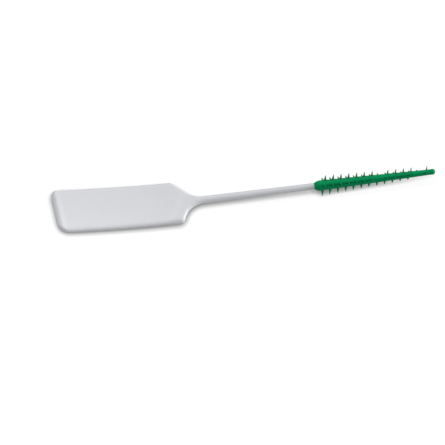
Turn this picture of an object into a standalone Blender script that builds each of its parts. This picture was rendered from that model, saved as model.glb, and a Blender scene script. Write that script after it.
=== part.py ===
"""Rubber interdental pick: a flat moulded handle with a soft bristled rubber sleeve.

Run with:  blender --background --python part.py

Units are metres. +X runs along the shank to the tip, +Y across the paddle, +Z up.
The origin lies on the paddle's flat underside, below the shank's axis, half-way along
the paddle. Two pieces make the pick: the handle, whose shank runs on as a thin core
pin, and the sleeve of soft rubber that is moulded round that pin, bristles and all.
"""

from math import atan, cos, pi, radians, sin, sqrt, tan

import bmesh
import bpy
import numpy as np
from mathutils import Vector

MM = 0.001

# Paddle, the flat grip
PADDLE_LENGTH = 20.02 * MM
PADDLE_WIDTH_END = 7.78 * MM
PADDLE_WIDTH_SHOULDER = 7.58 * MM
PADDLE_THICKNESS = 1.25 * MM
PADDLE_SLANT = radians(4.6)
PADDLE_LEAN_AT_SHOULDER = radians(1.3)
PADDLE_LEAN_AT_END = radians(5.3)
BACK_CORNER_RADIUS = 1.1 * MM
FRONT_CORNER_RADIUS = 1.6 * MM
EDGE_ROUND_SHARE = 0.46
END_ROUND_LENGTH = 0.8 * MM

# Shallow thumb panel sunk in the paddle's upper face
PANEL_DEPTH = 0.1 * MM
PANEL_END_LIP = 0.7 * MM
PANEL_END_RAMP = 0.9 * MM
PANEL_PAST_SHOULDER = 1.65 * MM
PANEL_NECK_RAMP = 2.0 * MM

# Neck, where the paddle's two edges sweep in to the shank
NECK_LENGTH = 4.6 * MM
NECK_BACK_SLOPE = radians(47)
NECK_BACK_FILLET = 3.6 * MM
NECK_BACK_CORNER = 0.9 * MM
NECK_FRONT_SLOPE = radians(62)
NECK_FRONT_FILLET = 3.76 * MM
NECK_FRONT_CORNER = 0.7 * MM
NECK_ROUND_START = 1.0 * MM
NECK_ROUND_RUN = 3.0 * MM

# Shank and the core pin that stiffens the sleeve
SHANK_LENGTH = 18.6 * MM
SHANK_NECK_DIAMETER = 1.24 * MM
SHANK_END_DIAMETER = 1.08 * MM
CORE_ROOT_DIAMETER = 1.0 * MM
CORE_TIP_DIAMETER = 0.46 * MM
BOND_GAP = 0.02 * MM

# Sleeve
SLEEVE_LENGTH = 20.4 * MM
SLEEVE_ROOT_DIAMETER = 1.78 * MM
SLEEVE_NOSE_DIAMETER = 0.92 * MM
SLEEVE_ROOT_ROUND = 0.3 * MM
SLEEVE_ROOT_ROUND_LENGTH = 0.55 * MM
NOSE_LENGTH = 1.1 * MM
NOSE_BULB_DIAMETER = 0.98 * MM
RUBBER_PAST_CORE = 1.0 * MM

# Bristles, leaning cones in rows along the sleeve, each row sized at its root and nose ends
BRISTLE_PITCH = 1.31 * MM
BRISTLE_ROOT_DIAMETER = 0.6 * MM
BRISTLE_NOSE_DIAMETER = 0.32 * MM
UPPER_BRISTLE_ROOT_LENGTH = 0.96 * MM
UPPER_BRISTLE_NOSE_LENGTH = 0.68 * MM
SIDE_BRISTLE_ROOT_LENGTH = 1.0 * MM
SIDE_BRISTLE_NOSE_LENGTH = 0.34 * MM
BRISTLE_WAIST_SHARE = 0.66
BRISTLE_FLARE_HEIGHT = 0.22 * MM
BRISTLE_TIP_DIAMETER = 0.11 * MM
BRISTLE_SINK = 0.05 * MM
LEAN_TO_HANDLE = -radians(12)
LEAN_TO_TIP = radians(10)
BRISTLE_SIDES = 8

# How finely the surfaces are divided
QUARTER_POINTS = 9
ARC_SHARE = 0.56
RAMP_STEPS = 4
PANEL_STEPS = 8
NECK_STEPS = 14
SHANK_STEPS = 4
CORE_STEPS = 6
SLEEVE_STEPS = 12
SHARP_ANGLE = radians(35)
SLOPE_STEP = 0.02 * MM

# Sizes and places worked out from those above
EDGE_ROUND = EDGE_ROUND_SHARE * PADDLE_THICKNESS
SHANK_AXIS_Z = PADDLE_THICKNESS / 2
PADDLE_END_X = -PADDLE_LENGTH / 2
SHOULDER_X = PADDLE_LENGTH / 2
SHANK_START_X = SHOULDER_X + NECK_LENGTH
SLEEVE_ROOT_X = SHANK_START_X + SHANK_LENGTH
CORE_LENGTH = SLEEVE_LENGTH - RUBBER_PAST_CORE
TAPER_LENGTH = SLEEVE_LENGTH - NOSE_LENGTH


def clear_scene():
    for item in list(bpy.data.objects):
        bpy.data.objects.remove(item, do_unlink=True)


def plastic(name, colour, roughness):
    material = bpy.data.materials.new(name)
    material.use_nodes = True
    shader = material.node_tree.nodes["Principled BSDF"]
    shader.inputs["Base Color"].default_value = (*colour, 1)
    shader.inputs["Roughness"].default_value = roughness
    shader.inputs["Metallic"].default_value = 0
    return material


def mesh_object(name, bm, material):
    bmesh.ops.recalc_face_normals(bm, faces=bm.faces)
    mesh = bpy.data.meshes.new(name)
    bm.to_mesh(mesh)
    bm.free()
    mesh.shade_smooth()
    mesh.set_sharp_from_angle(angle=SHARP_ANGLE)
    mesh.materials.append(material)
    item = bpy.data.objects.new(name, mesh)
    bpy.context.collection.objects.link(item)
    return item


def loft(bm, rings):
    """Skin rings of equal point counts. An end ring of one point closes in a fan."""
    rows = [[bm.verts.new(point) for point in ring] for ring in rings]
    for near, far in zip(rows, rows[1:]):
        count = max(len(near), len(far))
        for i in range(count):
            j = (i + 1) % count
            if len(near) == 1:
                bm.faces.new((near[0], far[j], far[i]))
            elif len(far) == 1:
                bm.faces.new((near[i], near[j], far[0]))
            else:
                bm.faces.new((near[i], near[j], far[j], far[i]))
    for end in (rows[0], rows[-1]):
        if len(end) > 1:
            bm.faces.new(end)


def smooth_step(value, start, end):
    share = min(max((value - start) / (end - start), 0), 1)
    return share * share * (3 - 2 * share)


def filleted(corners, radii, steps=8):
    """Polyline through corners, with an arc of the given radius at each inner corner."""
    path = [Vector(corners[0])]
    for before, corner, after, radius in zip(corners, corners[1:], corners[2:], radii):
        corner = Vector(corner)
        inward = (Vector(before) - corner).normalized()
        outward = (Vector(after) - corner).normalized()
        half = inward.angle(outward) / 2
        reach = radius / tan(half)
        centre = corner + (inward + outward).normalized() * (radius / sin(half))
        first = (corner + inward * reach - centre).normalized()
        last = (corner + outward * reach - centre).normalized()
        for step in range(steps + 1):
            path.append(centre + first.slerp(last, step / steps) * radius)
    path.append(Vector(corners[-1]))
    return path


# Handle

def neck_edge(side, slope, fillet, corner_radius, end_corner_radius):
    """Half-width of one paddle edge against the station along the shank."""
    shank_half = SHANK_NECK_DIAMETER / 2
    end_half = PADDLE_WIDTH_END / 2
    shoulder_half = PADDLE_WIDTH_SHOULDER / 2
    turn_x = SHANK_START_X - fillet * tan(slope / 2)
    shoulder_x = turn_x - (shoulder_half - shank_half) / tan(slope)
    corners = [
        (PADDLE_END_X, 0),
        (PADDLE_END_X, end_half),
        (shoulder_x, shoulder_half),
        (turn_x, shank_half),
        (SLEEVE_ROOT_X, shank_half),
    ]
    path = filleted(corners, [end_corner_radius, corner_radius, fillet])
    return side, [point.x for point in path[1:]], [point.y for point in path[1:]]


BACK_EDGE = neck_edge(1, NECK_BACK_SLOPE, NECK_BACK_FILLET, NECK_BACK_CORNER, BACK_CORNER_RADIUS)
FRONT_EDGE = neck_edge(-1, NECK_FRONT_SLOPE, NECK_FRONT_FILLET, NECK_FRONT_CORNER, FRONT_CORNER_RADIUS)


def edge_offset(edge, station):
    side, xs, halves = edge
    return side * float(np.interp(station, xs, halves))


def paddle_lean(station):
    """Sideways place of the paddle's bowed centre line."""
    back = max(SHOULDER_X - station, 0)
    bow = (tan(PADDLE_LEAN_AT_END) - tan(PADDLE_LEAN_AT_SHOULDER)) / (2 * PADDLE_LENGTH)
    return tan(PADDLE_LEAN_AT_SHOULDER) * back + bow * back * back


def section_slant(station):
    """The paddle's cross-sections lie askew, and square up along the neck."""
    return tan(PADDLE_SLANT) * (1 - smooth_step(station, SHOULDER_X, SHANK_START_X))


def panel_sink(x, y, station):
    """Depth of the thumb panel, whose ramp at the neck runs along the front flank."""
    end_ramp = PADDLE_END_X + PANEL_END_LIP
    sunk = smooth_step(station, end_ramp, end_ramp + PANEL_END_RAMP)
    beside_flank = x - y / tan(NECK_FRONT_SLOPE)
    neck_end = SHOULDER_X + PANEL_PAST_SHOULDER
    risen = smooth_step(beside_flank, neck_end - PANEL_NECK_RAMP, neck_end)
    return PANEL_DEPTH * sunk * (1 - risen)


def end_rounding(station):
    """How far the upper and lower faces draw in at the paddle's far end."""
    share = 1 - (station - PADDLE_END_X) / END_ROUND_LENGTH
    if share <= 0:
        return 0
    return EDGE_ROUND * (1 - sqrt(1 - share * share))


def edge_rounding(station):
    """Radius of the long edges, which swells along the neck to the shank's radius."""
    start = SHOULDER_X - NECK_ROUND_START
    share = smooth_step(station, start, start + NECK_ROUND_RUN)
    return EDGE_ROUND + (SHANK_NECK_DIAMETER / 2 - EDGE_ROUND) * share


def quarter_section(radius, flat):
    """From the side, round one corner and along half the flat, as offsets from the corner's centre.

    The arc's chords touch its circle, so that flats keep their true place.
    """
    arc = radius * pi / 2
    share = max(ARC_SHARE, arc / (arc + flat))
    reach = radius / cos(pi / 4 / (share * QUARTER_POINTS))
    points = []
    for i in range(QUARTER_POINTS):
        place = (i + 0.5) / QUARTER_POINTS
        if place < share:
            angle = pi / 2 * place / share
            points.append((reach * cos(angle), min(reach * sin(angle), radius)))
        else:
            points.append((-flat * (place - share) / (1 - share), radius))
    return points


def section_ring(front, back, low, high, radius):
    """Points of a rounded rectangle, (y, z), anticlockwise from the middle of its back side."""
    quarter = quarter_section(radius, (back - front) / 2 - radius)
    ring = [(back - radius + dy, high - radius + dz) for dy, dz in quarter]
    ring += [(front + radius - dy, high - radius + dz) for dy, dz in quarter[::-1]]
    ring += [(front + radius - dy, low + radius - dz) for dy, dz in quarter]
    ring += [(back - radius + dy, low + radius - dz) for dy, dz in quarter[::-1]]
    return ring


def rim_corner(edge, station, radius):
    """Where an edge's rounding meets the flat face, going in from the edge square to the outline."""
    side = edge[0]
    ahead = edge_offset(edge, station + SLOPE_STEP)
    behind = edge_offset(edge, station - SLOPE_STEP)
    slope = atan((ahead - behind) / (2 * SLOPE_STEP)) if station > 0 else 0
    return side * radius * sin(slope), edge_offset(edge, station) - side * radius * cos(slope)


def square_to_edges(y, front, back, radius, front_rim, back_rim):
    """Turns a section's roundings square to the outline, with its flats between them."""
    if y > back - radius:
        share = (back - y) / radius
        return back_rim[0] * share, back + (back_rim[1] - back) * share
    if y < front + radius:
        share = (y - front) / radius
        return front_rim[0] * share, front + (front_rim[1] - front) * share
    flat = back - front - 2 * radius
    share = (y - front - radius) / flat if flat > 0 else 0.5
    x = front_rim[0] + (back_rim[0] - front_rim[0]) * share
    return x, front_rim[1] + (back_rim[1] - front_rim[1]) * share


def flat_section(station):
    """Rounded rectangle of the paddle and neck, which ends as the shank's circle."""
    to_shank = smooth_step(station, SHOULDER_X, SHANK_START_X)
    slimming = to_shank * (PADDLE_THICKNESS - SHANK_NECK_DIAMETER) / 2
    drawn_in = end_rounding(station)
    low = slimming + drawn_in
    high = PADDLE_THICKNESS - slimming - drawn_in
    middle = (low + high) / 2
    back = edge_offset(BACK_EDGE, station)
    front = edge_offset(FRONT_EDGE, station)
    radius = min(edge_rounding(station), high - middle, (back - front) / 2)
    back_rim = rim_corner(BACK_EDGE, station, radius)
    front_rim = rim_corner(FRONT_EDGE, station, radius)
    ring = []
    for y, z in section_ring(front, back, low, high, radius):
        x, y = square_to_edges(y, front, back, radius, front_rim, back_rim)
        y += paddle_lean(station)
        x += station - y * section_slant(station)
        if z > middle:
            z -= panel_sink(x, y, station) * (z - middle) / (high - middle)
        ring.append((x, y, z))
    return ring


def round_section(x, radius):
    """Circle round the shank's axis, or one point on the axis where the radius is nil."""
    if radius == 0:
        return [(x, 0, SHANK_AXIS_Z)]
    ring = section_ring(-radius, radius, -radius, radius, radius)
    return [(x, y, SHANK_AXIS_Z + z) for y, z in ring]


def spread(start, end, count):
    return [start + (end - start) * i / count for i in range(count + 1)]


def paddle_stations():
    """Close together at the rounded end, the panel's ramps and the neck."""
    corner = max(BACK_CORNER_RADIUS, FRONT_CORNER_RADIUS)
    end_lip = PADDLE_END_X + PANEL_END_LIP
    neck_start = SHOULDER_X - PANEL_NECK_RAMP
    stations = [PADDLE_END_X + corner * (1 - cos(radians(angle))) for angle in range(0, 91, 10)]
    stations += spread(end_lip, end_lip + PANEL_END_RAMP, RAMP_STEPS)
    stations += spread(end_lip + PANEL_END_RAMP, neck_start, PANEL_STEPS)
    stations += spread(neck_start, SHANK_START_X, NECK_STEPS)
    for edge in (BACK_EDGE, FRONT_EDGE):
        stations += [x for x in edge[1] if neck_start < x < SHANK_START_X]
    stations.sort()
    closest = 0.05 * MM
    kept = [stations[0]]
    for station in stations[1:]:
        if station - kept[-1] > closest:
            kept.append(station)
    return kept


def core_outline(gap):
    """Tapered pin with a round end, as distance from its root against radius, grown by a gap."""
    nose = CORE_TIP_DIAMETER / 2 + gap
    nose_centre = CORE_LENGTH - CORE_TIP_DIAMETER / 2
    root = CORE_ROOT_DIAMETER / 2 + gap
    profile = []
    for reach in spread(0, nose_centre, CORE_STEPS):
        profile.append((reach, root + (nose - root) * reach / nose_centre))
    for angle in (30, 55, 75):
        profile.append((nose_centre + nose * sin(radians(angle)), nose * cos(radians(angle))))
    profile.append((nose_centre + nose, 0))
    return profile


def build_handle(material):
    rings = [flat_section(station) for station in paddle_stations()]
    for x in spread(SHANK_START_X, SLEEVE_ROOT_X, SHANK_STEPS)[1:]:
        share = (x - SHANK_START_X) / SHANK_LENGTH
        diameter = SHANK_NECK_DIAMETER + (SHANK_END_DIAMETER - SHANK_NECK_DIAMETER) * share
        rings.append(round_section(x, diameter / 2))
    rings += [round_section(SLEEVE_ROOT_X + reach, radius) for reach, radius in core_outline(0)]
    bm = bmesh.new()
    loft(bm, rings)
    return mesh_object("handle", bm, material)


# Sleeve

def sleeve_radius(reach):
    """Outer radius of the rubber at a distance from its root."""
    share = reach / TAPER_LENGTH
    return (SLEEVE_ROOT_DIAMETER + (SLEEVE_NOSE_DIAMETER - SLEEVE_ROOT_DIAMETER) * share) / 2


def sleeve_outline():
    """Outer profile from the rounded root, down the taper, to the bulbous nose."""
    profile = []
    for angle in range(0, 91, 30):
        inset = SLEEVE_ROOT_ROUND * (1 - sin(radians(angle)))
        reach = BOND_GAP + SLEEVE_ROOT_ROUND_LENGTH * (1 - cos(radians(angle)))
        profile.append((reach, sleeve_radius(reach) - inset))
    for reach in spread(SLEEVE_ROOT_ROUND_LENGTH + BOND_GAP, TAPER_LENGTH, SLEEVE_STEPS)[1:]:
        profile.append((reach, sleeve_radius(reach)))
    bulb = NOSE_BULB_DIAMETER / 2
    centre = SLEEVE_LENGTH - bulb
    for angle in range(-20, 90, 20):
        profile.append((centre + bulb * sin(radians(angle)), bulb * cos(radians(angle))))
    profile.append((SLEEVE_LENGTH, 0))
    return profile


def bristle(bm, reach, angle, lengths, lean):
    """One cone with a flared root, leaning along the sleeve."""
    share = reach / TAPER_LENGTH
    length = lengths[0] + (lengths[1] - lengths[0]) * share
    base = (BRISTLE_ROOT_DIAMETER + (BRISTLE_NOSE_DIAMETER - BRISTLE_ROOT_DIAMETER) * share) / 2
    tip = BRISTLE_TIP_DIAMETER / 2
    profile = [
        (-BRISTLE_SINK, base),
        (BRISTLE_FLARE_HEIGHT / 3, base * (1 + BRISTLE_WAIST_SHARE) / 2),
        (BRISTLE_FLARE_HEIGHT, base * BRISTLE_WAIST_SHARE),
        (length - tip, tip),
        (length, tip / 2),
    ]
    outward = Vector((0, cos(angle), sin(angle)))
    across = Vector((0, -sin(angle), cos(angle)))
    along = Vector((1, 0, 0))
    root = Vector((SLEEVE_ROOT_X + reach, 0, SHANK_AXIS_Z)) + outward * sleeve_radius(reach)
    rings = []
    for height, radius in profile:
        centre = root + outward * height + along * (height * tan(lean))
        ring = []
        for i in range(BRISTLE_SIDES):
            turn = 2 * pi * i / BRISTLE_SIDES
            ring.append(centre + along * (radius * cos(turn)) + across * (radius * sin(turn)))
        rings.append(ring)
    loft(bm, rings)


# Each row: degrees from +Y towards +Z, first bristle, rubber without bristles at the nose,
# places left bare, lengths at the root and nose, lean
UPPER_LENGTHS = (UPPER_BRISTLE_ROOT_LENGTH, UPPER_BRISTLE_NOSE_LENGTH)
SIDE_LENGTHS = (SIDE_BRISTLE_ROOT_LENGTH, SIDE_BRISTLE_NOSE_LENGTH)
BRISTLE_ROWS = (
    (54, 1.91 * MM, 1.4 * MM, (7, 12), UPPER_LENGTHS, LEAN_TO_TIP),
    (126, 1.72 * MM, 1.4 * MM, (7, 12), UPPER_LENGTHS, LEAN_TO_TIP),
    (198, 1.32 * MM, 4.0 * MM, (), SIDE_LENGTHS, LEAN_TO_HANDLE),
    (270, 1.75 * MM, 2.5 * MM, (), SIDE_LENGTHS, LEAN_TO_HANDLE),
    (342, 1.72 * MM, 2.5 * MM, (), SIDE_LENGTHS, LEAN_TO_HANDLE),
)


def build_bristles(material):
    """All bristles in one cutter, which a Boolean joins to the sleeve."""
    bm = bmesh.new()
    for degrees, first, nose_clear, bare, lengths, lean in BRISTLE_ROWS:
        count = int((SLEEVE_LENGTH - nose_clear - first) / BRISTLE_PITCH) + 1
        for i in range(count):
            if i not in bare:
                bristle(bm, first + i * BRISTLE_PITCH, radians(degrees), lengths, lean)
    cutter = mesh_object("bristle_cutter", bm, material)
    cutter.hide_render = True
    cutter.display_type = "WIRE"
    return cutter


def build_sleeve(material):
    outer = [round_section(SLEEVE_ROOT_X + reach, radius) for reach, radius in sleeve_outline()]
    bore = [round_section(SLEEVE_ROOT_X + reach, radius) for reach, radius in core_outline(BOND_GAP)]
    bore[0] = [(x + BOND_GAP, y, z) for x, y, z in bore[0]]
    bm = bmesh.new()
    loft(bm, outer[::-1] + bore)
    sleeve = mesh_object("rubber_sleeve", bm, material)
    union = sleeve.modifiers.new("bristles", "BOOLEAN")
    union.operation = "UNION"
    union.solver = "EXACT"
    union.object = build_bristles(material)
    return sleeve


def main():
    clear_scene()
    white = plastic("white_polypropylene", (0.72, 0.73, 0.74), 0.4)
    green = plastic("green_soft_rubber", (0.003, 0.23, 0.09), 0.5)
    build_handle(white)
    build_sleeve(green)


main()
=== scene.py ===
"""Looks of the rubber interdental pick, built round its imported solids.

Lengths are metres in the part's own frame: +X runs along the shank to the tip, +Y across
the paddle, and +Z out of the thumb panel. Both mouldings are made again here from the
sizes of the solids, with finer sections, blended bristle roots and soft tips.
"""

import random
from math import atan, cos, pi, radians, sin, sqrt, tan

import bmesh
import bpy
import numpy as np
from mathutils import Matrix, Vector


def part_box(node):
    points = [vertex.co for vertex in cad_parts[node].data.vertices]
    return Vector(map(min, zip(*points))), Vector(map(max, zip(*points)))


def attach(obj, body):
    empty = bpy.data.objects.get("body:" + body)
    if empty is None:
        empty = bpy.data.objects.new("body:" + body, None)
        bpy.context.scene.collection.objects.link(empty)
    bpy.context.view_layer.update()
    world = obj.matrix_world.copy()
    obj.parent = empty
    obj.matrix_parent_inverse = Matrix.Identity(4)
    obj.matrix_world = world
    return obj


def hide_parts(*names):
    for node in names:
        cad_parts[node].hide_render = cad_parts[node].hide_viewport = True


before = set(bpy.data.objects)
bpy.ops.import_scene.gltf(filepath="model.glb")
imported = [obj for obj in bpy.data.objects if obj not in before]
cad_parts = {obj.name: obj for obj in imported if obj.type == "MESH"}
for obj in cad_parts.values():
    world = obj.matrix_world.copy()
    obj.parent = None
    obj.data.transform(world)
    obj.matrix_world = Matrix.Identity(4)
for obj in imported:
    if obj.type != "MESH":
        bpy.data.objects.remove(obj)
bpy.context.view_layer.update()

MM = 0.001

# Paddle, the flat grip
PADDLE_LENGTH = 20.02 * MM
PADDLE_WIDTH_END = 7.78 * MM
PADDLE_WIDTH_SHOULDER = 7.58 * MM
PADDLE_SLANT = radians(4.6)
PADDLE_LEAN_AT_SHOULDER = radians(1.3)
PADDLE_LEAN_AT_END = radians(5.3)
BACK_CORNER_RADIUS = 1.1 * MM
FRONT_CORNER_RADIUS = 1.6 * MM
EDGE_ROUND_SHARE = 0.46
END_ROUND_LENGTH = 0.8 * MM

# Shallow thumb panel sunk in the paddle's upper face
PANEL_DEPTH = 0.1 * MM
PANEL_END_LIP = 0.7 * MM
PANEL_END_RAMP = 0.9 * MM
PANEL_PAST_SHOULDER = 1.65 * MM
PANEL_NECK_RAMP = 2.0 * MM

# Neck, where the paddle's two edges sweep in to the shank
NECK_LENGTH = 4.6 * MM
NECK_BACK_SLOPE = radians(47)
NECK_BACK_FILLET = 3.6 * MM
NECK_BACK_CORNER = 0.9 * MM
NECK_FRONT_SLOPE = radians(62)
NECK_FRONT_FILLET = 3.76 * MM
NECK_FRONT_CORNER = 0.7 * MM
NECK_ROUND_START = 1.0 * MM
NECK_ROUND_RUN = 3.0 * MM

# Shank and the core pin that stiffens the sleeve
SHANK_NECK_DIAMETER = 1.24 * MM
SHANK_END_DIAMETER = 1.08 * MM
CORE_ROOT_DIAMETER = 1.0 * MM
CORE_TIP_DIAMETER = 0.46 * MM
RUBBER_PAST_CORE = 1.0 * MM
BOND_GAP = 0.02 * MM

# Sleeve
SLEEVE_ROOT_DIAMETER = 1.78 * MM
SLEEVE_NOSE_DIAMETER = 0.92 * MM
SLEEVE_ROOT_ROUND = 0.36 * MM
SLEEVE_ROOT_ROUND_LENGTH = 1.0 * MM
NOSE_LENGTH = 1.1 * MM
NOSE_BULB_DIAMETER = 0.98 * MM

# Bristles, with a flared root that is sunk a little into the rubber
BRISTLE_PITCH = 1.31 * MM
BRISTLE_ROOT_DIAMETER = 0.6 * MM
BRISTLE_NOSE_DIAMETER = 0.32 * MM
BRISTLE_WAIST_SHARE = 0.66
BRISTLE_FLARE_HEIGHT = 0.22 * MM
BRISTLE_TIP_DIAMETER = 0.11 * MM
BRISTLE_SINK = 0.015 * MM
BRISTLE_SUNK_WIDENING = 1.06
BRISTLE_UNEVENNESS = radians(2.5)
BRISTLE_SEED = 11

# Bristle lengths at the sleeve's root and at its nose, and which way they lean
UPPER_LENGTHS = (0.96 * MM, 0.68 * MM)
SIDE_LENGTHS = (1.0 * MM, 0.34 * MM)
FRONT_LENGTHS = (1.0 * MM, 0.14 * MM)
LEAN_TO_HANDLE = -radians(12)
LEAN_TO_TIP = radians(10)
BOTTOM_ROW_START = 1.75 * MM

# Each row: degrees from +Y towards +Z, first bristle, rubber without bristles at the nose,
# places left bare, lengths at the root and nose, lean
BRISTLE_ROWS = (
    (54, 1.91 * MM, 1.4 * MM, (7, 12), UPPER_LENGTHS, LEAN_TO_TIP),
    (126, 1.72 * MM, 1.4 * MM, (7, 12), UPPER_LENGTHS, LEAN_TO_TIP),
    (198, 1.32 * MM, 4.0 * MM, (), FRONT_LENGTHS, LEAN_TO_HANDLE),
    (270, BOTTOM_ROW_START, 2.5 * MM, (), SIDE_LENGTHS, LEAN_TO_HANDLE),
    (342, 1.72 * MM, 2.5 * MM, (), SIDE_LENGTHS, LEAN_TO_HANDLE),
)

# How finely the paddle, neck and shank are divided
QUARTER_POINTS = 26
ARC_SHARE = 0.5
FILLET_STEPS = 24
CORNER_DEGREES = 5
RAMP_STEPS = 12
FACE_STEPS = 24
NECK_STEPS = 64
LEAST_STEP = 0.008 * MM
SLOPE_STEP = 0.02 * MM
SHANK_STEPS = 24
CORE_STEPS = 6
CORE_NOSE_DEGREES = 15

# How finely the rubber is divided, and how near points of the union are welded
ROOT_ROUND_STEPS = 12
TAPER_STEPS = 90
BULB_START_DEGREES = -20
BULB_DEGREES = 8
BRISTLE_SIDES = 20
FLARE_DEGREES = 18
CONE_STEPS = 5
TIP_DEGREES = (30, 60)
WELD = 0.0005 * MM

# Edges that turn more sharply than this are shaded as edges
SHARP_ANGLE = radians(40)

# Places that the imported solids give
handle_low, handle_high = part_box("handle")
sleeve_low, sleeve_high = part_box("rubber_sleeve")
PADDLE_THICKNESS = handle_high.z - handle_low.z
EDGE_ROUND = EDGE_ROUND_SHARE * PADDLE_THICKNESS
SHANK_AXIS_Z = PADDLE_THICKNESS / 2
PADDLE_END_X = -PADDLE_LENGTH / 2
SHOULDER_X = PADDLE_LENGTH / 2
SHANK_START_X = SHOULDER_X + NECK_LENGTH
SLEEVE_ROOT_X = sleeve_low.x - BOND_GAP
TIP_X = sleeve_high.x
SLEEVE_LENGTH = TIP_X - SLEEVE_ROOT_X
CORE_LENGTH = SLEEVE_LENGTH - RUBBER_PAST_CORE
TAPER_LENGTH = SLEEVE_LENGTH - NOSE_LENGTH

# Photograph: 445 pixels square, and where the tip of the nose lies in it
PHOTO_SIDE = 445
PIXEL = 0.1665 * MM
TIP_PIXEL = (435.3, 171.4)
VIEW_ELEVATION = radians(63)
PICK_TURN = radians(7.85)
CAMERA_DISTANCE = 1.0
SENSOR_WIDTH = 36

# Colours of the mouldings, each between two tints, and the painted shade in the rubber's creases
WHITE = "#FFFFFF"
POLYPROPYLENE_TINTS = ("#D3D5D9", "#D8DADE")
RUBBER_TINTS = ("#008B51", "#00A76C")
RUBBER_CREASE_SHADE = "#002608"

# Painted shade in the creases: how near other rubber shades them, and the openness at which the
# painted shade is full and at which there is none
CREASE_SHADE_REACH = 1.5 * MM
CREASE_SHADE_FULL = 0.7
CREASE_SHADE_NONE = 0.93

# White card: its grey to the eye and for the light it throws back, its glow to the eye in the
# open and under the pick, where a painted shadow dims it, how near the pick paints that shadow,
# and the openness at which the painted shadow is full and at which there is none
CARD_HALF_SIDE = 0.6
CARD_GREY = "#787878"
CARD_BOUNCE = "#B0B0B0"
CARD_GLOW = 0.88
CARD_GLOW_IN_PAINTED_SHADOW = 0.24
PAINTED_SHADOW_REACH = 1.15 * MM
PAINTED_SHADOW_FULL = 0.44
PAINTED_SHADOW_NONE = 0.93

# The card cuts this much off the longest bottom bristles, which bend there on the real pick
SOFT_GIVE = 0.6 * MM

# Two distant lamps, one above the back edge and one low from the nose's side
BACK_AZIMUTH = radians(98)
BACK_ELEVATION = radians(48)
BACK_STRENGTH = 1.05
BACK_SOFTNESS = radians(8)
LOW_AZIMUTH = radians(-4)
LOW_ELEVATION = radians(13)
LOW_STRENGTH = 2.35
LOW_SOFTNESS = radians(15)

# A small soft box close in front of the paddle, and even light from all round
BOX_PLACE = (-10 * MM, -21 * MM, 27 * MM)
BOX_SIZE = 20 * MM
BOX_WATTS = 0.0031
FILL_STRENGTH = 0.365

rng = random.Random(BRISTLE_SEED)


# Meshes

def mesh_object(name, bm):
    """A linked object of the finished mesh, with its faces turned outward."""
    bmesh.ops.recalc_face_normals(bm, faces=bm.faces)
    mesh = bpy.data.meshes.new(name)
    bm.to_mesh(mesh)
    bm.free()
    item = bpy.data.objects.new(name, mesh)
    bpy.context.collection.objects.link(item)
    return item


def smooth(item):
    """Smooth shading, except across sharp edges."""
    item.data.shade_smooth()
    item.data.set_sharp_from_angle(angle=SHARP_ANGLE)


def loft(bm, rings):
    """Skin rings of equal point counts. An end ring of one point closes in a fan."""
    rows = [[bm.verts.new(point) for point in ring] for ring in rings]
    for near, far in zip(rows, rows[1:]):
        count = max(len(near), len(far))
        for i in range(count):
            j = (i + 1) % count
            if len(near) == 1:
                bm.faces.new((near[0], far[j], far[i]))
            elif len(far) == 1:
                bm.faces.new((near[i], near[j], far[0]))
            else:
                bm.faces.new((near[i], near[j], far[j], far[i]))
    for end in (rows[0], rows[-1]):
        if len(end) > 1:
            bm.faces.new(end)


def spread(start, end, count):
    """Evenly spaced values from start to end, in the given count of steps."""
    return [start + (end - start) * i / count for i in range(count + 1)]


def smooth_step(value, start, end):
    """Rises gently from 0 at start to 1 at end."""
    share = min(max((value - start) / (end - start), 0), 1)
    return share * share * (3 - 2 * share)


def filleted(corners, radii):
    """Polyline through corners, with an arc of the given radius at each inner corner."""
    path = [Vector(corners[0])]
    for before, corner, after, radius in zip(corners, corners[1:], corners[2:], radii):
        corner = Vector(corner)
        inward = (Vector(before) - corner).normalized()
        outward = (Vector(after) - corner).normalized()
        half = inward.angle(outward) / 2
        reach = radius / tan(half)
        centre = corner + (inward + outward).normalized() * (radius / sin(half))
        first = (corner + inward * reach - centre).normalized()
        last = (corner + outward * reach - centre).normalized()
        for step in range(FILLET_STEPS + 1):
            path.append(centre + first.slerp(last, step / FILLET_STEPS) * radius)
    path.append(Vector(corners[-1]))
    return path


# Handle

def neck_edge(side, slope, fillet, corner_radius, end_corner_radius):
    """Side of one paddle edge, its stations along the shank and its half-width at each."""
    shank_half = SHANK_NECK_DIAMETER / 2
    end_half = PADDLE_WIDTH_END / 2
    shoulder_half = PADDLE_WIDTH_SHOULDER / 2
    turn_x = SHANK_START_X - fillet * tan(slope / 2)
    shoulder_x = turn_x - (shoulder_half - shank_half) / tan(slope)
    corners = [
        (PADDLE_END_X, 0),
        (PADDLE_END_X, end_half),
        (shoulder_x, shoulder_half),
        (turn_x, shank_half),
        (SLEEVE_ROOT_X, shank_half),
    ]
    path = filleted(corners, [end_corner_radius, corner_radius, fillet])
    return side, [point.x for point in path[1:]], [point.y for point in path[1:]]


BACK_EDGE = neck_edge(1, NECK_BACK_SLOPE, NECK_BACK_FILLET, NECK_BACK_CORNER, BACK_CORNER_RADIUS)
FRONT_EDGE = neck_edge(-1, NECK_FRONT_SLOPE, NECK_FRONT_FILLET, NECK_FRONT_CORNER, FRONT_CORNER_RADIUS)


def edge_offset(edge, station):
    """Sideways place of an edge at a station, before the paddle's lean."""
    side, stations, halves = edge
    return side * float(np.interp(station, stations, halves))


def paddle_lean(station):
    """Sideways place of the paddle's bowed centre line."""
    back = max(SHOULDER_X - station, 0)
    bow = (tan(PADDLE_LEAN_AT_END) - tan(PADDLE_LEAN_AT_SHOULDER)) / (2 * PADDLE_LENGTH)
    return tan(PADDLE_LEAN_AT_SHOULDER) * back + bow * back * back


def section_slant(station):
    """The paddle's cross-sections lie askew, and square up along the neck."""
    return tan(PADDLE_SLANT) * (1 - smooth_step(station, SHOULDER_X, SHANK_START_X))


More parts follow.
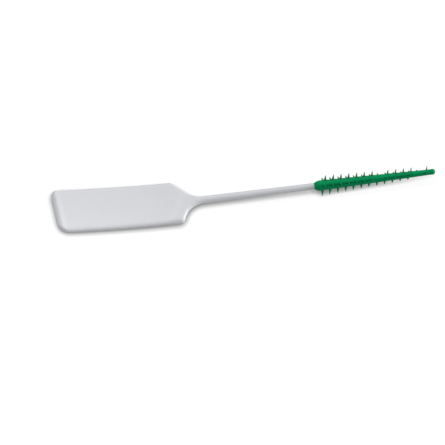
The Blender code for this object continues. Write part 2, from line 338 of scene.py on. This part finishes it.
def panel_sink(x, y, station):
    """Depth of the thumb panel, whose ramp at the neck runs along the front flank."""
    end_ramp = PADDLE_END_X + PANEL_END_LIP
    sunk = smooth_step(station, end_ramp, end_ramp + PANEL_END_RAMP)
    beside_flank = x - y / tan(NECK_FRONT_SLOPE)
    neck_end = SHOULDER_X + PANEL_PAST_SHOULDER
    risen = smooth_step(beside_flank, neck_end - PANEL_NECK_RAMP, neck_end)
    return PANEL_DEPTH * sunk * (1 - risen)


def end_rounding(station):
    """How far the upper and lower faces draw in at the paddle's far end."""
    share = 1 - (station - PADDLE_END_X) / END_ROUND_LENGTH
    if share <= 0:
        return 0
    return EDGE_ROUND * (1 - sqrt(max(1 - share * share, 0)))


def edge_rounding(station):
    """Radius of the long edges, which swells along the neck to the shank's radius."""
    start = SHOULDER_X - NECK_ROUND_START
    share = smooth_step(station, start, start + NECK_ROUND_RUN)
    return EDGE_ROUND + (SHANK_NECK_DIAMETER / 2 - EDGE_ROUND) * share


def quarter_section(radius, flat):
    """From the side, round one corner and along half the flat, as offsets from the corner's centre.

    The arc's chords touch its circle, so that flats keep their true place.
    """
    arc = radius * pi / 2
    share = max(ARC_SHARE, arc / (arc + flat))
    reach = radius / cos(pi / 4 / (share * QUARTER_POINTS))
    points = []
    for i in range(QUARTER_POINTS):
        place = (i + 0.5) / QUARTER_POINTS
        if place < share:
            angle = pi / 2 * place / share
            points.append((reach * cos(angle), min(reach * sin(angle), radius)))
        else:
            points.append((-flat * (place - share) / (1 - share), radius))
    return points


def section_ring(front, back, low, high, radius):
    """Points of a rounded rectangle, (y, z), anticlockwise from the middle of its back side."""
    quarter = quarter_section(radius, (back - front) / 2 - radius)
    ring = [(back - radius + dy, high - radius + dz) for dy, dz in quarter]
    ring += [(front + radius - dy, high - radius + dz) for dy, dz in quarter[::-1]]
    ring += [(front + radius - dy, low + radius - dz) for dy, dz in quarter]
    ring += [(back - radius + dy, low + radius - dz) for dy, dz in quarter[::-1]]
    return ring


def rim_corner(edge, station, radius):
    """Where an edge's rounding meets the flat face, going in from the edge square to the outline.

    The paddle's far half counts as straight.
    """
    side = edge[0]
    ahead = edge_offset(edge, station + SLOPE_STEP)
    behind = edge_offset(edge, station - SLOPE_STEP)
    slope = atan((ahead - behind) / (2 * SLOPE_STEP)) if station > 0 else 0
    return side * radius * sin(slope), edge_offset(edge, station) - side * radius * cos(slope)


def square_to_edges(y, front, back, radius, front_rim, back_rim):
    """Turns a section's roundings square to the outline, with its flats between them."""
    if y > back - radius:
        share = (back - y) / radius
        return back_rim[0] * share, back + (back_rim[1] - back) * share
    if y < front + radius:
        share = (y - front) / radius
        return front_rim[0] * share, front + (front_rim[1] - front) * share
    flat = back - front - 2 * radius
    share = (y - front - radius) / flat if flat > 0 else 0.5
    x = front_rim[0] + (back_rim[0] - front_rim[0]) * share
    return x, front_rim[1] + (back_rim[1] - front_rim[1]) * share


def flat_section(station):
    """Rounded rectangle of the paddle and neck, which ends as the shank's circle."""
    to_shank = smooth_step(station, SHOULDER_X, SHANK_START_X)
    slimming = to_shank * (PADDLE_THICKNESS - SHANK_NECK_DIAMETER) / 2
    drawn_in = end_rounding(station)
    low = slimming + drawn_in
    high = PADDLE_THICKNESS - slimming - drawn_in
    middle = (low + high) / 2
    back = edge_offset(BACK_EDGE, station)
    front = edge_offset(FRONT_EDGE, station)
    radius = min(edge_rounding(station), high - middle, (back - front) / 2)
    back_rim = rim_corner(BACK_EDGE, station, radius)
    front_rim = rim_corner(FRONT_EDGE, station, radius)
    ring = []
    for y, z in section_ring(front, back, low, high, radius):
        x, y = square_to_edges(y, front, back, radius, front_rim, back_rim)
        y += paddle_lean(station)
        x += station - y * section_slant(station)
        if z > middle:
            z -= panel_sink(x, y, station) * (z - middle) / (high - middle)
        ring.append((x, y, z))
    return ring


def round_section(x, radius):
    """Circle round the shank's axis, or one point on the axis where the radius is nil."""
    if radius == 0:
        return [(x, 0, SHANK_AXIS_Z)]
    ring = section_ring(-radius, radius, -radius, radius, radius)
    return [(x, y, SHANK_AXIS_Z + z) for y, z in ring]


def paddle_stations():
    """Close together at the rounded end, the panel's ramps and the neck."""
    corner = max(BACK_CORNER_RADIUS, FRONT_CORNER_RADIUS)
    end_lip = PADDLE_END_X + PANEL_END_LIP
    neck_start = SHOULDER_X - PANEL_NECK_RAMP
    turns = [radians(angle) for angle in range(0, 91, CORNER_DEGREES)]
    stations = [PADDLE_END_X + corner * (1 - cos(turn)) for turn in turns]
    stations += spread(end_lip, end_lip + PANEL_END_RAMP, RAMP_STEPS)
    stations += spread(end_lip + PANEL_END_RAMP, neck_start, FACE_STEPS)
    stations += spread(neck_start, SHANK_START_X, NECK_STEPS)
    for edge in (BACK_EDGE, FRONT_EDGE):
        stations += [x for x in edge[1] if neck_start < x < SHANK_START_X]
    stations.sort()
    kept = [stations[0]]
    for station in stations[1:]:
        if station - kept[-1] > LEAST_STEP:
            kept.append(station)
    return kept


def core_outline(gap):
    """Tapered pin with a round end, as distance from its root against radius, grown by a gap."""
    nose = CORE_TIP_DIAMETER / 2 + gap
    nose_centre = CORE_LENGTH - CORE_TIP_DIAMETER / 2
    root = CORE_ROOT_DIAMETER / 2 + gap
    profile = []
    for reach in spread(0, nose_centre, CORE_STEPS):
        profile.append((reach, root + (nose - root) * reach / nose_centre))
    for angle in range(CORE_NOSE_DEGREES, 90, CORE_NOSE_DEGREES):
        profile.append((nose_centre + nose * sin(radians(angle)), nose * cos(radians(angle))))
    profile.append((nose_centre + nose, 0))
    return profile


def build_handle():
    """One skin from the paddle's far end, down the shank, to the end of the core pin."""
    rings = [flat_section(station) for station in paddle_stations()]
    for x in spread(SHANK_START_X, SLEEVE_ROOT_X, SHANK_STEPS)[1:]:
        share = (x - SHANK_START_X) / (SLEEVE_ROOT_X - SHANK_START_X)
        diameter = SHANK_NECK_DIAMETER + (SHANK_END_DIAMETER - SHANK_NECK_DIAMETER) * share
        rings.append(round_section(x, diameter / 2))
    rings += [round_section(SLEEVE_ROOT_X + reach, radius) for reach, radius in core_outline(0)]
    bm = bmesh.new()
    loft(bm, rings)
    handle = mesh_object("handle_moulding", bm)
    smooth(handle)
    return handle


# Sleeve

def sleeve_radius(reach):
    """Outer radius of the rubber at a distance from its root."""
    share = reach / TAPER_LENGTH
    return (SLEEVE_ROOT_DIAMETER + (SLEEVE_NOSE_DIAMETER - SLEEVE_ROOT_DIAMETER) * share) / 2


def sleeve_outline():
    """Outer profile from the rounded root, down the taper, to the bulbous nose."""
    profile = []
    for share in spread(0, 1, ROOT_ROUND_STEPS):
        inset = SLEEVE_ROOT_ROUND * (1 - sin(share * pi / 2))
        reach = BOND_GAP + SLEEVE_ROOT_ROUND_LENGTH * share
        profile.append((reach, sleeve_radius(reach) - inset))
    for reach in spread(SLEEVE_ROOT_ROUND_LENGTH + BOND_GAP, TAPER_LENGTH, TAPER_STEPS)[1:]:
        profile.append((reach, sleeve_radius(reach)))
    bulb = NOSE_BULB_DIAMETER / 2
    centre = SLEEVE_LENGTH - bulb
    for angle in range(BULB_START_DEGREES, 90, BULB_DEGREES):
        profile.append((centre + bulb * sin(radians(angle)), bulb * cos(radians(angle))))
    profile.append((SLEEVE_LENGTH, 0))
    return profile


def bristle_profile(base, length):
    """Height against radius: a blended root, a slim cone and a round tip."""
    waist = base * BRISTLE_WAIST_SHARE
    tip = BRISTLE_TIP_DIAMETER / 2
    profile = [(-BRISTLE_SINK, base * BRISTLE_SUNK_WIDENING)]
    for angle in range(0, 91, FLARE_DEGREES):
        height = BRISTLE_FLARE_HEIGHT * (1 - cos(radians(angle)))
        profile.append((height, waist + (base - waist) * (1 - sin(radians(angle)))))
    for height in spread(BRISTLE_FLARE_HEIGHT, length - tip, CONE_STEPS)[1:]:
        share = (height - BRISTLE_FLARE_HEIGHT) / (length - tip - BRISTLE_FLARE_HEIGHT)
        profile.append((height, waist + (tip - waist) * share))
    for angle in TIP_DEGREES:
        profile.append((length - tip + tip * sin(radians(angle)), tip * cos(radians(angle))))
    profile.append((length, 0))
    return profile


def bristle(bm, reach, angle, lengths, lean):
    """One soft cone whose root follows the round of the sleeve, leaning along it."""
    share = reach / TAPER_LENGTH
    length = lengths[0] + (lengths[1] - lengths[0]) * share
    base = (BRISTLE_ROOT_DIAMETER + (BRISTLE_NOSE_DIAMETER - BRISTLE_ROOT_DIAMETER) * share) / 2
    skin = sleeve_radius(reach)
    outward = Vector((0, cos(angle), sin(angle)))
    across = Vector((0, -sin(angle), cos(angle)))
    along = Vector((1, 0, 0))
    root = Vector((SLEEVE_ROOT_X + reach, 0, SHANK_AXIS_Z)) + outward * skin
    lean_here = lean + rng.uniform(-1, 1) * BRISTLE_UNEVENNESS
    sway = rng.uniform(-1, 1) * BRISTLE_UNEVENNESS
    rings = []
    for height, radius in bristle_profile(base, length):
        bend = max(height, 0)
        centre = root + outward * height + along * (bend * tan(lean_here)) + across * (bend * tan(sway))
        hug = 1 - smooth_step(height, 0, BRISTLE_FLARE_HEIGHT)
        ring = []
        for i in range(BRISTLE_SIDES if radius else 1):
            turn = 2 * pi * i / BRISTLE_SIDES
            aside = radius * sin(turn)
            drop = hug * (skin - sqrt(skin * skin - aside * aside))
            ring.append(centre + along * (radius * cos(turn)) + across * aside - outward * drop)
        rings.append(ring)
    loft(bm, rings)


def build_bristles():
    """All rows of bristles, at an even pitch along the sleeve."""
    bm = bmesh.new()
    for degrees, first, nose_clear, bare, lengths, lean in BRISTLE_ROWS:
        count = int((SLEEVE_LENGTH - nose_clear - first) / BRISTLE_PITCH) + 1
        for i in range(count):
            if i not in bare:
                bristle(bm, first + i * BRISTLE_PITCH, radians(degrees), lengths, lean)
    return mesh_object("bristles", bm)


def build_sleeve():
    """The rubber round its bore, with the bristles joined on and the seams welded."""
    outer = [round_section(SLEEVE_ROOT_X + reach, radius) for reach, radius in sleeve_outline()]
    bore = [round_section(SLEEVE_ROOT_X + reach, radius) for reach, radius in core_outline(BOND_GAP)]
    bore[0] = [(x + BOND_GAP, y, z) for x, y, z in bore[0]]
    bm = bmesh.new()
    loft(bm, outer[::-1] + bore)
    sleeve = mesh_object("rubber_moulding", bm)
    bristles = build_bristles()
    union = sleeve.modifiers.new("bristles", "BOOLEAN")
    union.operation = "UNION"
    union.solver = "EXACT"
    union.object = bristles
    graph = bpy.context.evaluated_depsgraph_get()
    joined = bpy.data.meshes.new_from_object(sleeve.evaluated_get(graph))
    sleeve.modifiers.clear()
    bm = bmesh.new()
    bm.from_mesh(joined)
    bmesh.ops.remove_doubles(bm, verts=bm.verts, dist=WELD)
    bmesh.ops.dissolve_degenerate(bm, dist=WELD, edges=bm.edges)
    bm.to_mesh(joined)
    bm.free()
    sleeve.data = joined
    joined.name = "rubber_moulding"
    bpy.data.objects.remove(bristles)
    smooth(sleeve)
    return sleeve


# Materials

def linear(code):
    """sRGB hex to linear colour."""
    channels = [int(code[i:i + 2], 16) / 255 for i in (1, 3, 5)]
    return [c / 12.92 if c <= 0.04045 else ((c + 0.055) / 1.055) ** 2.4 for c in channels] + [1]


def per_mm(size):
    """Texture scale at which one feature of a pattern measures this many millimetres."""
    return 1 / (size * MM)


def set_sockets(owner, node, values=None, links=None):
    """Gives a node of a material or world its socket values and incoming links."""
    for key, value in (values or {}).items():
        node.inputs[key].default_value = value
    for key, source in (links or {}).items():
        owner.node_tree.links.new(source, node.inputs[key])


def add_node(owner, kind, settings=None, values=None, links=None):
    """A new node with its settings, socket values and incoming links."""
    node = owner.node_tree.nodes.new(kind)
    for key, value in (settings or {}).items():
        setattr(node, key, value)
    set_sockets(owner, node, values, links)
    return node


def new_material(name):
    """A material and its main shader."""
    material = bpy.data.materials.new(name)
    material.use_nodes = True
    return material, material.node_tree.nodes["Principled BSDF"]


def tool_grain(material, place, size, gloss, strength, depth):
    """The mould's grain, its size in millimetres: roughness between two values, and slight relief."""
    grain = add_node(
        material, "ShaderNodeTexNoise",
        values={"Scale": per_mm(size), "Detail": 3, "Roughness": 0.6},
        links={"Vector": place},
    )
    satin = add_node(
        material, "ShaderNodeMapRange",
        values={"From Min": 0.3, "From Max": 0.7, "To Min": gloss[0], "To Max": gloss[1]},
        links={"Value": grain.outputs["Fac"]},
    )
    relief = add_node(
        material, "ShaderNodeBump",
        values={"Strength": strength, "Distance": depth},
        links={"Height": grain.outputs["Fac"]},
    )
    return satin.outputs["Result"], relief.outputs["Normal"]


def moulded_polypropylene():
    """White polypropylene, injection moulded in a satin tool: soft gloss, faintly cloudy."""
    material, shader = new_material("moulded_polypropylene")
    place = add_node(material, "ShaderNodeTexCoord").outputs["Object"]
    cloud = add_node(
        material, "ShaderNodeTexNoise",
        values={"Scale": per_mm(3.5), "Detail": 2, "Roughness": 0.5},
        links={"Vector": place},
    )
    tint = add_node(
        material, "ShaderNodeMix", {"data_type": "RGBA"},
        values={"A": linear(POLYPROPYLENE_TINTS[0]), "B": linear(POLYPROPYLENE_TINTS[1])},
        links={"Factor": cloud.outputs["Fac"]},
    )
    # Spark-eroded tool grain is about 0.02 mm; it is drawn at 0.12 mm so that it shows
    satin, relief = tool_grain(
        material, place,
        size=0.12, gloss=(0.36, 0.46), strength=0.25, depth=0.004 * MM,
    )
    set_sockets(
        material, shader,
        values={
            "IOR": 1.49,
            "Subsurface Weight": 0.05,
            "Subsurface Radius": (1, 0.95, 0.9),
            "Subsurface Scale": 0.3 * MM,
        },
        links={"Base Color": tint.outputs["Result"], "Roughness": satin, "Normal": relief},
    )
    return material


def soft_rubber():
    """Green thermoplastic elastomer, moulded over the pin: matt, slightly uneven, a little milky."""
    material, shader = new_material("soft_thermoplastic_rubber")
    place = add_node(material, "ShaderNodeTexCoord").outputs["Object"]
    cloud = add_node(
        material, "ShaderNodeTexNoise",
        values={"Scale": per_mm(1.1), "Detail": 3, "Roughness": 0.55},
        links={"Vector": place},
    )
    tint = add_node(
        material, "ShaderNodeMix", {"data_type": "RGBA"},
        values={"A": linear(RUBBER_TINTS[0]), "B": linear(RUBBER_TINTS[1])},
        links={"Factor": cloud.outputs["Fac"]},
    )
    # Painted shade: little light comes back out of the creases round the bristle roots, so the
    # rubber's colour is darkened there
    openness = add_node(
        material, "ShaderNodeAmbientOcclusion", {"samples": 8, "only_local": True},
        values={"Distance": CREASE_SHADE_REACH},
    )
    painted_crease_shade = add_node(
        material, "ShaderNodeMapRange",
        values={"From Min": CREASE_SHADE_FULL, "From Max": CREASE_SHADE_NONE, "To Min": 1, "To Max": 0},
        links={"Value": openness.outputs["AO"]},
    )
    skin = add_node(
        material, "ShaderNodeMix", {"data_type": "RGBA"},
        values={"B": linear(RUBBER_CREASE_SHADE)},
        links={"Factor": painted_crease_shade.outputs["Result"], "A": tint.outputs["Result"]},
    )
    # The rubber takes the tool's grain of about 0.03 mm, drawn at 0.15 mm so that it shows
    satin, relief = tool_grain(
        material, place,
        size=0.15, gloss=(0.48, 0.62), strength=0.3, depth=0.008 * MM,
    )
    # It hardly shines in the photograph, so its reflection is turned low
    set_sockets(
        material, shader,
        values={
            "IOR": 1.5,
            "Specular IOR Level": 0.06,
            "Subsurface Weight": 0.05,
            "Subsurface Radius": (0.3, 1, 0.6),
            "Subsurface Scale": 0.12 * MM,
        },
        links={"Base Color": skin.outputs["Result"], "Roughness": satin, "Normal": relief},
    )
    return material


# Stage

def seen_rays(owner):
    """One for camera, mirrored and transmitted rays, which all meet the white background."""
    rays = add_node(owner, "ShaderNodeLightPath")
    total = rays.outputs["Is Camera Ray"]
    for kind in ("Is Glossy Ray", "Is Transmission Ray"):
        either = add_node(
            owner, "ShaderNodeMath", {"operation": "MAXIMUM"},
            links={0: total, 1: rays.outputs[kind]},
        )
        total = either.outputs[0]
    return total


def floor_material():
    """White card that glows evenly to the eye, dimmed as a painted shadow where the pick is near."""
    material = bpy.data.materials.new("white_card")
    material.use_nodes = True
    material.node_tree.nodes.clear()
    # Painted shadow: the glow drops where the pick is near, on top of the real shadows in the card's
    # grey
    openness = add_node(
        material, "ShaderNodeAmbientOcclusion", {"samples": 16},
        values={"Distance": PAINTED_SHADOW_REACH},
    )
    glow = add_node(
        material, "ShaderNodeMapRange",
        values={
            "From Min": PAINTED_SHADOW_FULL, "From Max": PAINTED_SHADOW_NONE,
            "To Min": CARD_GLOW_IN_PAINTED_SHADOW, "To Max": CARD_GLOW,
        },
        links={"Value": openness.outputs["AO"]},
    )
    card = add_node(material, "ShaderNodeBsdfDiffuse", values={"Color": linear(CARD_GREY)})
    light = add_node(
        material, "ShaderNodeEmission",
        values={"Color": linear(WHITE)},
        links={"Strength": glow.outputs["Result"]},
    )
    seen = add_node(
        material, "ShaderNodeAddShader",
        links={0: card.outputs["BSDF"], 1: light.outputs["Emission"]},
    )
    bounce = add_node(material, "ShaderNodeBsdfDiffuse", values={"Color": linear(CARD_BOUNCE)})
    choose = add_node(
        material, "ShaderNodeMixShader",
        links={0: seen_rays(material), 1: bounce.outputs["BSDF"], 2: seen.outputs["Shader"]},
    )
    add_node(material, "ShaderNodeOutputMaterial", links={"Surface": choose.outputs["Shader"]})
    return material


def build_floor():
    """A white card tilted under the paddle's far end and the first bottom bristles, which pass into it.
    """
    touch_drop = -sleeve_low.z - SOFT_GIVE
    touch_reach = SLEEVE_ROOT_X + BOTTOM_ROW_START - PADDLE_END_X
    tilt = atan(touch_drop / touch_reach)
    bm = bmesh.new()
    bmesh.ops.create_grid(bm, x_segments=1, y_segments=1, size=CARD_HALF_SIDE)
    floor = mesh_object("floor", bm)
    floor.matrix_world = Matrix.Translation((PADDLE_END_X, 0, 0)) @ Matrix.Rotation(tilt, 4, "Y")
    floor.data.materials.append(floor_material())


def aimed(name, data, direction):
    """A lamp that shines from the given direction."""
    lamp = bpy.data.objects.new(name, data)
    lamp.rotation_mode = "QUATERNION"
    lamp.rotation_quaternion = direction.to_track_quat("Z", "Y")
    bpy.context.collection.objects.link(lamp)
    return lamp


def sun(name, azimuth, elevation, strength, softness):
    """A distant lamp. Azimuths turn from +X towards +Y."""
    data = bpy.data.lights.new(name, "SUN")
    data.energy = strength
    data.angle = softness
    level = cos(elevation)
    aimed(name, data, Vector((level * cos(azimuth), level * sin(azimuth), sin(elevation))))


def soft_box(name, place, size, watts):
    """A round soft box close above, out of the camera's sight."""
    data = bpy.data.lights.new(name, "AREA")
    data.shape = "DISK"
    data.size = size
    data.energy = watts
    lamp = aimed(name, data, Vector((0, 0, 1)))
    lamp.location = place
    lamp.visible_camera = False


def build_lights():
    """Three lamps, and a world that fills the shadows and is plain white to the eye."""
    sun("over_the_back", BACK_AZIMUTH, BACK_ELEVATION, BACK_STRENGTH, BACK_SOFTNESS)
    sun("low_from_right", LOW_AZIMUTH, LOW_ELEVATION, LOW_STRENGTH, LOW_SOFTNESS)
    soft_box("near_the_grip", BOX_PLACE, BOX_SIZE, BOX_WATTS)
    world = bpy.data.worlds.new("studio")
    world.use_nodes = True
    bpy.context.scene.world = world
    fill = world.node_tree.nodes["Background"]
    output = world.node_tree.nodes["World Output"]
    set_sockets(world, fill, {"Color": linear(WHITE), "Strength": FILL_STRENGTH})
    # A background of strength 1 shows as white
    backdrop = add_node(world, "ShaderNodeBackground", values={"Color": linear(WHITE), "Strength": 1})
    choose = add_node(
        world, "ShaderNodeMixShader",
        links={0: seen_rays(world), 1: fill.outputs["Background"], 2: backdrop.outputs["Background"]},
    )
    set_sockets(world, output, links={"Surface": choose.outputs["Shader"]})


def build_camera():
    """Looks down at the photograph's angle, with the nose's tip at its place in the picture."""
    right = Vector((cos(PICK_TURN), -sin(PICK_TURN), 0))
    level = Vector((-sin(PICK_TURN), -cos(PICK_TURN), 0))
    towards = level * cos(VIEW_ELEVATION) + Vector((0, 0, sin(VIEW_ELEVATION)))
    up = towards.cross(right)
    tip = Vector((TIP_X, 0, SHANK_AXIS_Z))
    middle = PHOTO_SIDE / 2
    target = tip + (right * (middle - TIP_PIXEL[0]) - up * (middle - TIP_PIXEL[1])) * PIXEL
    data = bpy.data.cameras.new("camera")
    data.sensor_width = SENSOR_WIDTH
    data.lens = SENSOR_WIDTH * CAMERA_DISTANCE / (PHOTO_SIDE * PIXEL)
    camera = bpy.data.objects.new("camera", data)
    axes = Matrix((right, up, towards)).transposed()
    camera.matrix_world = Matrix.Translation(target + towards * CAMERA_DISTANCE) @ axes.to_4x4()
    bpy.context.collection.objects.link(camera)
    bpy.context.scene.camera = camera


def dress(piece, node, material):
    """The piece stands for its solid, rides with it and takes its finish."""
    piece.data.materials.clear()
    piece.data.materials.append(material)
    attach(piece, "root")
    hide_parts(node)


build_camera()
build_floor()
build_lights()
dress(build_handle(), "handle", moulded_polypropylene())
dress(build_sleeve(), "rubber_sleeve", soft_rubber())
bpy.context.scene.view_settings.view_transform = "Standard"
